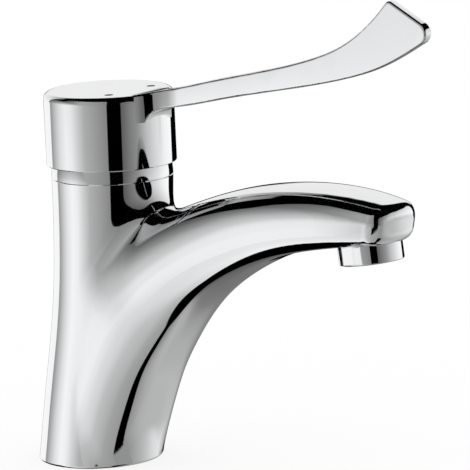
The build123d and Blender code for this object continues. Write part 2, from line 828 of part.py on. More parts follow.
def lever_blade():
    """The lever: its side view cut to its plan."""
    reach = cap_radius
    side = Solid.extrude(lever_side_face(), Vector(0, 2 * reach, 0)).translate(Vector(0, -reach, 0))
    plan = Solid.extrude(lever_plan(), Vector(0, 0, cap_top + lever_rise + overrun))
    blade = one_solid(side & plan)
    tip_x = lever_line(lever_top_shares)[-2].X
    upright = [e for e in blade.edges() if e.bounding_box().min.X > tip_x and e.bounding_box().size.Y > fit]
    corners = [e for e in upright if e.bounding_box().size.X < fit]
    upper, lower = sorted(corners, key=lambda e: -e.center().Z)[:2]
    blade = blade.fillet(lever_tip_upper_round, [upper])
    lower = min(blade.edges(), key=lambda e: (e.center() - lower.center()).length)
    blade = blade.fillet(lever_tip_lower_round, [lower])
    return blade.fillet(lever_edge_round, [edge for edge in blade.edges() if is_blade_edge(edge)])


def cap_boss():
    """The boss under the cap's roof that takes the spindle adaptor, with its screw rib."""
    boss = cylinder(boss_radius, boss_drop + overrun, axis_x, 0, boss_bottom)
    rib_back = axis_x - cap_upper_radius - fit
    rib = block((rib_back, axis_x), boss_rib_width / 2, (boss_bottom, cap_ceiling + fit))
    swing_space = Solid.make_sphere(cap_bore_radius, Plane(origin=(axis_x, 0, pivot_height)), -90, 90)
    return boss + (rib - swing_space)


def screw_hole(radius, start_x, end_x):
    """A level hole or screw on the screw axis at the back of the cap."""
    plane = Plane(origin=(start_x, 0, screw_height), z_dir=(1, 0, 0))
    return Solid.make_cylinder(radius, end_x - start_x, plane)


def mark_place(side):
    """Where a mark lies on top of the cap."""
    return axis_x + mark_forward, side * mark_aside


def lever_handle():
    """The lever casting: cap, blade, boss, and the holes for screw and marks."""
    casting = cap_shell() + lever_blade()
    casting = casting - cap_hollow() + cap_boss()
    casting = casting - cylinder(adaptor_radius + fit, adaptor_length + fit, axis_x, 0, boss_bottom - fit)
    casting = casting - screw_hole(screw_radius + fit, axis_x - cap_radius - overrun, axis_x)
    for side in (-1, 1):
        x, y = mark_place(side)
        casting = casting - cylinder(mark_radius + fit, mark_depth + overrun, x, y, cap_top - mark_depth)
    return one_solid(casting)


def spindle_adaptor():
    """The sleeve with a square hole between the spindle and the cap."""
    sleeve = cylinder(adaptor_radius, adaptor_length, axis_x, 0, boss_bottom)
    half = spindle_side / 2 + fit
    hole = block((axis_x - half, axis_x + half), half, (boss_bottom - overrun, cap_ceiling))
    sleeve = sleeve - hole
    return one_solid(sleeve - screw_hole(screw_radius + fit, axis_x - adaptor_radius - overrun, axis_x))


def handle_set_screw():
    """The grub screw that pins the lever casting to the spindle."""
    tip_x = axis_x - spindle_side / 2 - fit
    screw = screw_hole(screw_radius, tip_x - screw_length, tip_x)
    socket = RegularPolygon(screw_socket_across / 2, 6, major_radius=False)
    face = Plane(origin=(tip_x - screw_length - overrun, 0, screw_height), z_dir=(1, 0, 0)) * socket
    return one_solid(screw - extrude(face, screw_socket_depth + overrun))


def colour_mark(side):
    """An inlaid dot on the cap."""
    x, y = mark_place(side)
    return cylinder(mark_radius, mark_depth, x, y, cap_top - mark_depth)


def aerator_collar():
    """The outlet collar with its thread above and two spanner flats below."""
    low = outlet_ring(aerator_radius, 0, 0, aerator_visible_height)
    rim = [min(low.edges(), key=lambda edge: edge.center().Z)]
    low = low.fillet(aerator_edge_round, rim)
    for side in (-1, 1):
        aside = side * (aerator_flat_across + aerator_radius) / 2
        slab = Box(aerator_radius, 2 * aerator_radius, aerator_visible_height - 2 * aerator_edge_round)
        low = low - outlet_plane(aerator_visible_height / 2) * Pos(aside, 0, 0) * slab
    total = aerator_visible_height + aerator_thread_height
    collar = low + outlet_ring(aerator_thread_radius, 0, 0, total)
    collar = collar - outlet_ring(aerator_bore_radius, 0, aerator_lip_height, total + overrun)
    return one_solid(collar - outlet_ring(aerator_lip_radius, 0, -overrun, total))


def aerator_insert():
    """The flow straightener with its close pattern of holes."""
    foot = aerator_lip_height
    disc = outlet_ring(aerator_bore_radius - fit, 0, foot, foot + insert_height)
    plane = outlet_plane(foot - overrun)
    limit = aerator_bore_radius - insert_hole_pitch
    for row in range(-insert_hole_rows, insert_hole_rows + 1):
        for column_index in range(-insert_hole_rows, insert_hole_rows + 1):
            x = insert_hole_pitch * (column_index + row / 2)
            y = insert_hole_pitch * row * math.sqrt(3) / 2
            if math.hypot(x, y) < limit:
                centre = plane.from_local_coords(Vector(x, y, 0))
                hole_plane = Plane(origin=centre, z_dir=plane.z_dir)
                disc = disc - Solid.make_cylinder(insert_hole_radius, insert_height + 2 * overrun, hole_plane)
    return one_solid(disc)


def aerator_screen():
    """The domed strainer that rests on the flow straightener."""
    foot = aerator_lip_height + insert_height
    base = outlet_plane(foot)
    radius = aerator_bore_radius - fit
    ball = (radius**2 + screen_rise**2) / (2 * screen_rise)
    centre = outlet_plane(foot + screen_rise - ball).origin
    keep = Solid.make_cylinder(radius, screen_rise + overrun, base)
    outer = Solid.make_sphere(ball, Plane(origin=centre, z_dir=base.z_dir), -90, 90)
    inner = Solid.make_sphere(ball - screen_wall, Plane(origin=centre, z_dir=base.z_dir), -90, 90)
    return one_solid((keep & outer) - inner)


def aerator_washer():
    """The flat seal between the collar and the end of its bore."""
    foot = aerator_visible_height + aerator_thread_height
    return outlet_ring(aerator_thread_radius, washer_inner_radius, foot, foot + washer_height)


def save(name, *solids):
    """Writes one sub-part to its own file."""
    shape = solids[0] if len(solids) == 1 else Compound(children=list(solids))
    shape.label = name
    export_step(shape, f"parts/{name}.step")


def main():
    """Builds every sub-part in its working place."""
    save("body", body())
    save("base_gasket", base_gasket())
    save("port_seals", *seal_rings(cartridge_seat))
    save("cartridge_base", cartridge_base())
    save("disc_seals", *seal_rings(base_plate_top - seal_ring_height))
    save("fixed_ceramic_disc", fixed_ceramic_disc())
    save("moving_ceramic_disc", moving_ceramic_disc())
    save("disc_carrier", disc_carrier())
    save("cartridge_housing", cartridge_housing())
    save("spindle_holder", spindle_holder())
    save("spindle_pin", spindle_pin())
    save("spindle", spindle())
    save("temperature_limiter", temperature_limiter())
    save("cartridge_nut", cartridge_nut())
    save("cover_ring", cover_ring())
    save("cover_ring_seal", cover_ring_seal())
    save("lever_handle", lever_handle())
    save("spindle_adaptor", spindle_adaptor())
    save("handle_set_screw", handle_set_screw())
    save("hot_mark", colour_mark(-1))
    save("cold_mark", colour_mark(1))
    save("aerator_collar", aerator_collar())
    save("aerator_insert", aerator_insert())
    save("aerator_screen", aerator_screen())
    save("aerator_washer", aerator_washer())


main()
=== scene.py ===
"""Looks of a basin mixer tap with a long elbow lever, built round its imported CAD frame.

Lengths are metres in the frame of the CAD model. The origin is the centre of the base,
X points along the spout and Z is up.
"""

import logging
import math
from collections.abc import Iterable, Sequence
from dataclasses import dataclass, replace
from enum import Enum
from typing import ClassVar

import bmesh
import bpy
import numpy as np
from mathutils import Matrix, Vector
from mathutils.bvhtree import BVHTree


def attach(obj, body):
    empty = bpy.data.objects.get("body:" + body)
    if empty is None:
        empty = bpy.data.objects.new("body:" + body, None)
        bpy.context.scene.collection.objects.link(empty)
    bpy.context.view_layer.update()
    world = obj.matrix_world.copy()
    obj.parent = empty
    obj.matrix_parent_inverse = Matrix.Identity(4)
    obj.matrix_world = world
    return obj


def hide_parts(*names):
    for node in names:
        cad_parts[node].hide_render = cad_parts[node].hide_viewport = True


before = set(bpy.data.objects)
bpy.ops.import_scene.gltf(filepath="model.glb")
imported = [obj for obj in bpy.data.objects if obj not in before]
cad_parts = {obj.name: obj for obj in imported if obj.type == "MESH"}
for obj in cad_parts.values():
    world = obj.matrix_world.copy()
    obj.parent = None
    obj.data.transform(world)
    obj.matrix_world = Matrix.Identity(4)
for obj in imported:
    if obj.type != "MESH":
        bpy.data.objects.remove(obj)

log = logging.getLogger("elbow_lever_tap")

MM = 0.001
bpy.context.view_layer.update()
CAD_WELD = 0.002 * MM
CAD_SHARP_ANGLE = 28.0
CUT_WELD = 0.001 * MM
LEVEL_TOLERANCE = 0.01 * MM
NO_WIDTH = 1e-9
NO_AREA = 1e-18

Pair = tuple[float, float]
Pairs = tuple[Pair, ...]
Row = tuple[float, ...]


class Angle(Enum):
    """The two angles of the surround, with the whole span of each in degrees."""

    SIDE = 360.0
    UP = 180.0


class Value:
    """A number in a shader, with the usual arithmetic written as Math nodes."""

    def __init__(self, graph: "Graph", socket: bpy.types.NodeSocket) -> None:
        """Wraps an output socket.

        Args:
            graph: the graph that new nodes join.
            socket: the output that carries the number.
        """
        self.graph = graph
        self.socket = socket

    def maths(self, operation: str, *others: "Value | float") -> "Value":
        """One Math node whose first input is this value.

        Args:
            operation: the node's operation.
            others: its other inputs.

        Returns:
            The node's result.
        """
        inputs = {0: self}
        for place, other in enumerate(others):
            inputs[place + 1] = other
        return self.graph.node("ShaderNodeMath", {"operation": operation}, inputs)

    def __add__(self, other: "Value | float") -> "Value":
        """The sum."""
        return self.maths("ADD", other)

    __radd__ = __add__

    def __sub__(self, other: "Value | float") -> "Value":
        """The difference."""
        return self.maths("SUBTRACT", other)

    def __rsub__(self, other: "Value | float") -> "Value":
        """The difference, with this value taken away."""
        return (self * -1.0) + other

    def __mul__(self, other: "Value | float") -> "Value":
        """The product."""
        return self.maths("MULTIPLY", other)

    __rmul__ = __mul__

    def __truediv__(self, other: "Value | float") -> "Value":
        """The quotient."""
        return self.maths("DIVIDE", other)


class Graph:
    """A node tree that is written as calls and expressions."""

    def __init__(self, tree: bpy.types.NodeTree) -> None:
        """Empties a tree and starts to fill it.

        Args:
            tree: the node tree of a material or a world.
        """
        self.tree = tree
        tree.nodes.clear()

    def node(
        self, kind: str, settings: dict | None = None, inputs: dict | None = None, output: int | str = 0
    ) -> Value:
        """Adds one node.

        Args:
            kind: the node's type.
            settings: properties that are set before the inputs, and "stops" for a ramp.
            inputs: numbers, colours or values by socket name or place.
            output: the socket that the result reads.

        Returns:
            The chosen output.
        """
        made = self.tree.nodes.new(kind)
        for name, setting in (settings or {}).items():
            if name == "stops":
                self._stops(made, setting)
            else:
                setattr(made, name, setting)
        for name, given in (inputs or {}).items():
            if isinstance(given, Value):
                self.tree.links.new(given.socket, made.inputs[name])
            else:
                made.inputs[name].default_value = given
        return Value(self, made.outputs[output] if made.outputs else made.inputs[0])

    @staticmethod
    def _stops(made: bpy.types.Node, stops: Sequence[Pair]) -> None:
        """Fills a ramp with grey stops.

        Args:
            made: the ramp node.
            stops: the place and the level of each stop.
        """
        elements = made.color_ramp.elements
        while len(elements) < len(stops):
            elements.new(1.0)
        for element, (place, level) in zip(elements, stops):
            element.position = place
            element.color = (level, level, level, 1.0)


def linear(grey: float) -> float:
    """The light of a grey that a screen shows at a level from 0 to 1."""
    return grey / 12.92 if grey <= 0.04045 else ((grey + 0.055) / 1.055) ** 2.4


@dataclass(frozen=True)
class Finish:
    """How a surface looks, with a slight unevenness of its gloss.

    Attributes:
        name: the material's name.
        colour: its base colour, as linear light.
        metallic: 1 for metal.
        roughness: its middle roughness.
        roughness_swing: how far the roughness wanders.
        colour_swing: how far the lightness wanders.
        pattern_scale: how fine the wandering is, in patches to the metre.
        pattern_detail: how many finer layers the wandering has.
        relief: the height of the surface's grain in metres.
        specular: how strongly it mirrors, with 0.5 for common plastic.
    """

    name: str
    colour: tuple[float, float, float]
    metallic: float = 0.0
    roughness: float = 0.4
    roughness_swing: float = 0.05
    colour_swing: float = 0.03
    pattern_scale: float = 120.0
    relief: float = 0.0
    specular: float = 0.5
    pattern_detail: float = 3.0

    def material(self) -> bpy.types.Material:
        """Builds the material.

        Returns:
            The new material.
        """
        made = bpy.data.materials.new(self.name)
        made.use_nodes = True
        graph = Graph(made.node_tree)
        where = graph.node("ShaderNodeTexCoord", output="Object")
        pattern = {"Vector": where, "Scale": self.pattern_scale, "Detail": self.pattern_detail}
        noise = graph.node("ShaderNodeTexNoise", None, pattern)
        wander = noise - 0.5
        lightness = wander * (2.0 * self.colour_swing) + 1.0
        scaled = {0: self.colour, "Scale": lightness}
        shade = graph.node("ShaderNodeVectorMath", {"operation": "SCALE"}, scaled)
        inputs = {
            "Base Color": shade,
            "Metallic": self.metallic,
            "Roughness": wander * (2.0 * self.roughness_swing) + self.roughness,
            "Specular IOR Level": self.specular,
        }
        if self.relief > 0.0:
            grain = {"Height": noise, "Distance": self.relief}
            inputs["Normal"] = graph.node("ShaderNodeBump", None, grain)
        surface = graph.node("ShaderNodeBsdfPrincipled", None, inputs)
        graph.node("ShaderNodeOutputMaterial", None, {"Surface": surface})
        return made


FINE_RELIEF = 0.01 * MM
CHROME = Finish(
    "bright_chrome", (0.90, 0.905, 0.915), metallic=1.0,
    roughness=0.035, roughness_swing=0.012, colour_swing=0.006, pattern_scale=60.0,
)
RUBBER = Finish(
    "black_rubber", (0.012, 0.012, 0.013),
    roughness=0.62, roughness_swing=0.08, colour_swing=0.12, pattern_scale=400.0, relief=0.04 * MM,
)
PALE_PLASTIC = Finish(
    "pale_moulding", (0.72, 0.72, 0.69),
    roughness=0.42, colour_swing=0.02, pattern_scale=180.0, relief=FINE_RELIEF,
)
LIMITER_PLASTIC = replace(
    PALE_PLASTIC, name="limiter_moulding", colour=(0.42, 0.02, 0.015), roughness=0.40, colour_swing=0.05
)
OUTLET_PLASTIC = Finish(
    "outlet_moulding", (0.42, 0.43, 0.44),
    roughness=0.38, colour_swing=0.03, pattern_scale=220.0, relief=FINE_RELIEF,
)
CERAMIC = Finish(
    "lapped_ceramic", (0.82, 0.81, 0.78),
    roughness=0.12, roughness_swing=0.03, colour_swing=0.01, pattern_scale=150.0,
)
BRASS = Finish(
    "turned_brass", (0.62, 0.42, 0.16), metallic=1.0,
    roughness=0.24, roughness_swing=0.06, colour_swing=0.04, pattern_scale=260.0, relief=FINE_RELIEF,
)
STEEL = replace(
    BRASS, name="machined_steel", colour=(0.50, 0.50, 0.51),
    roughness=0.28, colour_swing=0.03, pattern_scale=300.0,
)
HOT_ENAMEL = Finish(
    "hot_enamel", (0.045, 0.002, 0.002),
    roughness=0.55, roughness_swing=0.03, colour_swing=0.05, pattern_scale=300.0, specular=0.0,
)
COLD_ENAMEL = replace(HOT_ENAMEL, name="cold_enamel", colour=(0.006, 0.016, 0.045))

FINISH_NODES = {
    RUBBER: ("base_gasket", "port_seals", "disc_seals", "cover_ring_seal", "aerator_washer"),
    PALE_PLASTIC: (
        "cartridge_base", "cartridge_housing", "disc_carrier", "spindle_holder", "spindle_adaptor",
    ),
    LIMITER_PLASTIC: ("temperature_limiter",),
    OUTLET_PLASTIC: ("aerator_insert",),
    CERAMIC: ("fixed_ceramic_disc", "moving_ceramic_disc"),
    BRASS: ("spindle", "cartridge_nut"),
    STEEL: ("spindle_pin", "handle_set_screw", "aerator_screen"),
    HOT_ENAMEL: ("hot_mark",),
    COLD_ENAMEL: ("cold_mark",),
    CHROME: ("body", "cover_ring", "lever_handle", "aerator_collar"),
}


class Finishes:
    """Every finish as one shared material."""

    def __init__(self) -> None:
        """Starts with no material made."""
        self.made: dict[str, bpy.types.Material] = {}

    def of(self, finish: Finish) -> bpy.types.Material:
        """The material of a finish, made on first use.

        Args:
            finish: the finish that is wanted.

        Returns:
            Its material.
        """
        if finish.name not in self.made:
            self.made[finish.name] = finish.material()
        return self.made[finish.name]

    def dress(self, piece: bpy.types.Object, finish: Finish) -> None:
        """Gives a piece one finish all over.

        Args:
            piece: the object to dress.
            finish: its finish.
        """
        if not piece.data.materials:
            piece.data.materials.append(self.of(finish))
        for place in range(len(piece.data.materials)):
            piece.data.materials[place] = self.of(finish)


def new_piece(name: str, mesh: bmesh.types.BMesh, sharp_angle: float = 32.0) -> bpy.types.Object:
    """Turns a finished bmesh into an object with smooth faces and crisp edges.

    Args:
        name: the piece's name.
        mesh: its shape, which is freed.
        sharp_angle: edges that turn by more degrees than this stay crisp.

    Returns:
        The new object.
    """
    bmesh.ops.recalc_face_normals(mesh, faces=mesh.faces)
    for face in mesh.faces:
        face.smooth = True
    limit = math.radians(sharp_angle)
    for edge in mesh.edges:
        edge.smooth = edge.is_manifold and edge.calc_face_angle(0.0) < limit
    data = bpy.data.meshes.new(name)
    mesh.to_mesh(data)
    mesh.free()
    piece = bpy.data.objects.new(name, data)
    bpy.context.scene.collection.objects.link(piece)
    return piece


def settled(piece: bpy.types.Object) -> bmesh.types.BMesh:
    """The shape of a piece with its modifiers applied.

    Args:
        piece: the object, which is removed.

    Returns:
        Its evaluated shape as a bmesh.
    """
    bpy.context.view_layer.update()
    graph = bpy.context.evaluated_depsgraph_get()
    mesh = bmesh.new()
    mesh.from_mesh(piece.evaluated_get(graph).to_mesh())
    old = piece.data
    bpy.data.objects.remove(piece)
    bpy.data.meshes.remove(old)
    return mesh


def merged_copy(node: str, name: str) -> bpy.types.Object:
    """A copy of a CAD node with its triangles joined and its flat faces kept flat.

    Args:
        node: the CAD node's name.
        name: the copy's name.

    Returns:
        The copy, which stands for the node.
    """
    mesh = bmesh.new()
    mesh.from_mesh(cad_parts[node].data)
    bmesh.ops.remove_doubles(mesh, verts=mesh.verts, dist=CAD_WELD)
    piece = new_piece(name, mesh, CAD_SHARP_ANGLE)
    even = piece.modifiers.new("flat_faces", "WEIGHTED_NORMAL")
    even.keep_sharp = True
    even.weight = 100
    return piece


def together(parts: Iterable[bmesh.types.BMesh]) -> bmesh.types.BMesh:
    """Puts several shapes into one, with their skins still apart.

    Args:
        parts: the shapes, which are freed.

    Returns:
        The one shape.
    """
    data = bpy.data.meshes.new("together")
    whole = bmesh.new()
    for part in parts:
        part.to_mesh(data)
        whole.from_mesh(data)
        part.free()
    bpy.data.meshes.remove(data)
    return whole


def grown_loop(
    mesh: bmesh.types.BMesh, edges: Sequence[bmesh.types.BMEdge]
) -> tuple[set[bmesh.types.BMVert], list[bmesh.types.BMEdge]]:
    """Doubles a loop of edges, with a band of faces between the two.

    Args:
        mesh: the shape.
        edges: the loop.

    Returns:
        The points and the edges of the new loop.
    """
    grown = bmesh.ops.extrude_edge_only(mesh, edges=edges)["geom"]
    verts = {item for item in grown if isinstance(item, bmesh.types.BMVert)}
    new_edges = [item for item in grown if isinstance(item, bmesh.types.BMEdge)]
    return verts, [edge for edge in new_edges if set(edge.verts) <= verts]


def swept_skin(rings: Sequence[Sequence[Vector]]) -> bmesh.types.BMesh:
    """A closed skin drawn through rings that have the same number of points.

    Args:
        rings: the points of each ring, in order.

    Returns:
        The skin, closed at both ends.
    """
    mesh = bmesh.new()
    bmesh.ops.create_circle(mesh, cap_ends=False, segments=len(rings[0]), radius=1.0)
    place = mesh.verts.layers.int.new("place")
    for index, vert in enumerate(mesh.verts):
        vert[place] = index
        vert.co = rings[0][index]
    first = edges = list(mesh.edges)
    for ring in rings[1:]:
        verts, edges = grown_loop(mesh, edges)
        for vert in verts:
            vert.co = ring[vert[place]]
    bmesh.ops.contextual_create(mesh, geom=first)
    bmesh.ops.contextual_create(mesh, geom=edges)
    bmesh.ops.recalc_face_normals(mesh, faces=mesh.faces)
    return mesh


def drawn_ring(
    mesh: bmesh.types.BMesh,
    edges: Sequence[bmesh.types.BMEdge],
    middle: float,
    radius: float,
    height: float,
    shift: float = 0.0,
) -> list[bmesh.types.BMEdge]:
    """Draws a loop of edges on to a level circle, with a band of faces behind it.

    Args:
        mesh: the shape.
        edges: the loop, whose points keep their directions.
        middle: how far forward the circle's middle lies.
        radius: the circle's radius.
        height: the circle's height.
        shift: how far the middle lies in front of the loop's own.

    Returns:
        The new loop.
    """
    verts, grown = grown_loop(mesh, edges)
    for vert in verts:
        way = Vector((vert.co.x + shift - middle, vert.co.y, 0.0)).normalized()
        vert.co = (middle + way.x * radius, way.y * radius, height)
    return grown


class Curve:
    """A smooth cubic line, or a bundle of them, through given values."""

    fine_points: ClassVar[int] = 4001

    def __init__(self, places: Sequence[float], values: np.ndarray | Sequence) -> None:
        """Works out the bend at each given place.

        Args:
            places: rising places.
            values: the value, or an array of values, at each.
        """
        self.places = np.array(places, float)
        self.values = np.array(values, float)
        count = len(places)
        step = np.diff(self.places)
        flat = self.values.reshape(count, -1)
        slope = np.diff(flat, axis=0) / step[:, None]
        matrix = np.zeros((count, count))
        right = np.zeros_like(flat)
        for k in range(1, count - 1):
            matrix[k, k - 1 : k + 2] = step[k - 1], 2 * (step[k - 1] + step[k]), step[k]
            right[k] = 6 * (slope[k] - slope[k - 1])
        matrix[0, :3] = step[1], -(step[0] + step[1]), step[0]
        matrix[-1, -3:] = step[-1], -(step[-2] + step[-1]), step[-2]
        self.bends = np.linalg.solve(matrix, right).reshape(self.values.shape)

    def at(self, place: float) -> np.ndarray:
        """The value at one place.

        Args:
            place: where to read the line.

        Returns:
            Its value there.
        """
        k = int(np.clip(np.searchsorted(self.places, place) - 1, 0, len(self.places) - 2))
        step = self.places[k + 1] - self.places[k]
        a = (self.places[k + 1] - place) / step
        b = (place - self.places[k]) / step
        bend = ((a**3 - a) * self.bends[k] + (b**3 - b) * self.bends[k + 1]) * step**2 / 6
        return a * self.values[k] + b * self.values[k + 1] + bend

    def evenly(self, count: int) -> np.ndarray:
        """Points that lie evenly along the line's length.

        Args:
            count: how many.

        Returns:
            The points.
        """
        fine = np.linspace(self.places[0], self.places[-1], self.fine_points)
        points = np.array([self.at(place) for place in fine])
        lengths = np.concatenate(([0.0], np.cumsum(np.linalg.norm(np.diff(points, axis=0), axis=1))))
        places = np.interp(np.linspace(0.0, lengths[-1], count), lengths, fine)
        return np.array([self.at(place) for place in places])


def lofted(outlines: np.ndarray, count: int) -> bmesh.types.BMesh:
    """A closed skin that flows smoothly through a few outlines.

    Args:
        outlines: the points of each outline.
        count: how many rings the skin has.

    Returns:
        The skin.
    """
    strides = np.linalg.norm(np.diff(outlines, axis=0), axis=2).mean(axis=1)
    places = np.concatenate(([0.0], np.cumsum(strides)))
    flow = Curve(places, outlines)
    rings = [flow.at(place) for place in np.linspace(0, places[-1], count)]
    return swept_skin([[Vector(point) for point in ring] for ring in rings])


@dataclass
class BodyCasting:
    """The chromed casting: column, neck and spout in one flowing form.

    Attributes whose names don't say it all:
        neck_lean: how far forward the neck's middle lies.
        neck_overrun: how far the column runs on before it is cut.
        neck_cut_share: the cut's reach round the neck, in shares of its radius.
        neck_edge: the bevel of the neck's upper edge.
        neck_steps: radius and height of each step down into the bore.
        nose_round: the radius of the nose's edge.
        nose_bow: how far the nose's sides lie behind its middle.
        nose_reach: how far the bow brings the middle out.
        bow_start: where along the spout the bow begins, from 0 to 1.
        blend_radius: the fillet between column and spout.
        low_blend_radius: the same low on the side.
        blend_heights: between them the one fillet turns into the other.
        blend_passes: how often the joined skin is drawn on to the blend.
        blend_evening: how strongly each pass evens out its points.
        voxel: the size of the joined skin's faces.
        roof_x: how far forward the middle of the hollow's roof lies.
        footing: depth, lean and added radius of the start below the base.
        nose_angles: the outlines of the nose's edge, in degrees round it.
        nose_fill_shares: the outlines that close the nose, in shares of its face.
        section_count: how many even outlines the spout has.
    """

    base_radius: float = 23.8 * MM
    waist_radius: float = 22.5 * MM
    neck_radius: float = 23.0 * MM
    neck_height: float = 110.2 * MM
    neck_lean: float = 12.8 * MM
    neck_overrun: float = 5.0 * MM
    neck_cut_share: float = 1.3
    neck_edge: float = 0.45 * MM
    neck_steps: Pairs = (
        (22.55 * MM, 110.2 * MM), (20.6 * MM, 110.2 * MM), (20.6 * MM, 105.25 * MM), (19.1 * MM, 105.25 * MM),
        (19.1 * MM, 100.15 * MM), (17.6 * MM, 100.15 * MM), (17.6 * MM, 76.2 * MM),
    )
    spout_length: float = 141.5 * MM
    root_half_width: float = 19.0 * MM
    nose_half_width: float = 15.0 * MM
    nose_round: float = 4.5 * MM
    nose_bow: float = 2.7 * MM
    nose_reach: float = 1.6 * MM
    bow_start: float = 0.80
    blend_radius: float = 7.4 * MM
    low_blend_radius: float = 30.0 * MM
    blend_heights: Pair = (58.0 * MM, 90.0 * MM)
    blend_passes: int = 3
    blend_evening: float = 0.5
    voxel: float = 0.75 * MM
    base_round: float = 1.0 * MM
    base_round_steps: int = 8
    groove_radii: Pair = (19.55 * MM, 21.85 * MM)
    groove_depth: float = 1.55 * MM
    mouth_radius: float = 18.0 * MM
    mouth_height: float = 5.0 * MM
    roof_radius: float = 17.0 * MM
    roof_x: float = 8.0 * MM
    roof_height: float = 38.0 * MM
    footing: tuple[float, float, float] = (-14.0 * MM, -2.2 * MM, 0.6 * MM)
    ring_points: int = 160
    column_rings: int = 110
    spout_rings: int = 190
    nose_rings: int = 30
    nose_angles: Row = (20.0, 40.0, 60.0, 78.0)
    nose_fill_shares: Row = (0.70, 0.40, 0.08)
    section_count: int = 15

    # Heights of the column as shares of the neck's height, and its share of the lean at each.
    height_shares: ClassVar[Row] = (0.0, 0.24, 0.45, 0.61, 0.75, 0.88, 1.0)
    lean_shares: ClassVar[Row] = (0.0, 0.30, 0.61, 0.80, 0.90, 0.96, 1.0)

    # The spout's lower and upper line as shares of its length and the neck's height, and for each pair
    # of points how wide the spout is there, how square above and below, and how much narrower in front.
    front_shares: ClassVar[Pairs] = (
        (0.120, -0.127), (0.147, 0.0), (0.165, 0.077), (0.201, 0.200), (0.240, 0.309),
        (0.300, 0.426), (0.375, 0.544), (0.470, 0.649), (0.580, 0.730), (0.693, 0.788),
        (0.806, 0.823), (0.919, 0.847), (1.0, 0.860),
    )
    crown_shares: ClassVar[Pairs] = (
        (-0.085, -0.127), (-0.085, 0.0), (-0.09, 0.077), (-0.095, 0.218), (-0.07, 0.363),
        (-0.01, 0.526), (0.085, 0.708), (0.269, 0.869), (0.424, 0.949), (0.565, 1.0),
        (0.721, 1.028), (0.883, 1.027), (1.020, 0.999),
    )
    width_shares: ClassVar[Row] = (
        1.4, 1.5, 1.75, 1.85, 1.82, 1.70, 1.32, 0.95, 0.70, 0.52, 0.38, 0.10, -0.40,
    )
    crown_powers: ClassVar[Row] = (2.2, 2.2, 2.2, 2.2, 2.2, 2.3, 2.3, 2.4, 2.5, 2.6, 2.6, 2.7, 2.7)
    front_powers: ClassVar[Row] = (3.6, 3.8, 4.0, 4.2, 4.3, 4.3, 4.2, 4.2, 4.2, 4.3, 4.5, 4.8, 5.0)
    narrowing_shares: ClassVar[Row] = (
        0.20, 0.20, 0.20, 0.20, 0.20, 0.20, 0.17, 0.10, 0.04, 0.0, 0.0, 0.0, 0.0,
    )

    def _shaft(self) -> Curve:
        """The column's lean and radius by height.

        Returns:
            A line whose values are the lean and the radius.
        """
        depth, lean, spread = self.footing
        stations = [(depth, lean, self.base_radius + spread)]
        for up, share in zip(self.height_shares, self.lean_shares):
            radius = self.waist_radius
            radius += (self.base_radius - self.waist_radius) * (1 - up) ** 3
            radius += (self.neck_radius - self.waist_radius) * up**6
            stations.append((self.neck_height * up, self.neck_lean * share, radius))
        return Curve([station[0] for station in stations], [station[1:] for station in stations])

    def column(self) -> bmesh.types.BMesh:
        """The leaning round column, run on past both its ends.

        Returns:
            The closed skin.
        """
        shaft, turns = self._shaft(), self._turns()
        rings = []
        for height in np.linspace(self.footing[0], self.neck_height + self.neck_overrun, self.column_rings):
            x, radius = shaft.at(min(height, self.neck_height))
            rings.append([Vector((x + radius * math.cos(t), radius * math.sin(t), height)) for t in turns])
        return swept_skin(rings)

    def _turns(self) -> list[float]:
        """The angles of a ring's points."""
        return [2 * math.pi * (k + 0.5) / self.ring_points for k in range(self.ring_points)]

    def _stations(self) -> tuple[np.ndarray, np.ndarray, list[float]]:
        """The front and crown points of the spout and how far along they lie.

        Returns:
            Front points, crown points and their places from 0 to 1.
        """
        size = np.array((self.spout_length, self.neck_height))
        front, crown = np.array(self.front_shares) * size, np.array(self.crown_shares) * size
        front_steps, crown_steps = (np.linalg.norm(np.diff(line, axis=0), axis=1) for line in (front, crown))
        travelled = np.concatenate(([0.0], np.cumsum(front_steps + crown_steps)))
        return front, crown, list(travelled / travelled[-1])

    def _section(
        self, front: np.ndarray, crown: np.ndarray, half_width: float, powers: Pair, narrowing: float = 0.0
    ) -> np.ndarray:
        """One outline of the spout.

        Args:
            front: its lowest or foremost point, as x and z.
            crown: its highest or rearmost point, as x and z.
            half_width: half its width.
            powers: the squareness of its crown side and its front side.
            narrowing: the share of the width that is lost from the middle to the front.

        Returns:
            The outline's points.
        """
        centre, half = (front + crown) / 2, (crown - front) / 2
        turns = np.array(self._turns())
        power = np.where(np.sin(turns) > 0, powers[0], powers[1])
        across = np.sign(np.cos(turns)) * np.abs(np.cos(turns)) ** (2 / power)
        along = np.sign(np.sin(turns)) * np.abs(np.sin(turns)) ** (2 / power)
        across *= 1 - narrowing * np.maximum(-along, 0.0) ** 2
        x, z = (centre[k] + half[k] * along for k in range(2))
        return np.stack([x, half_width * across, z], axis=1)

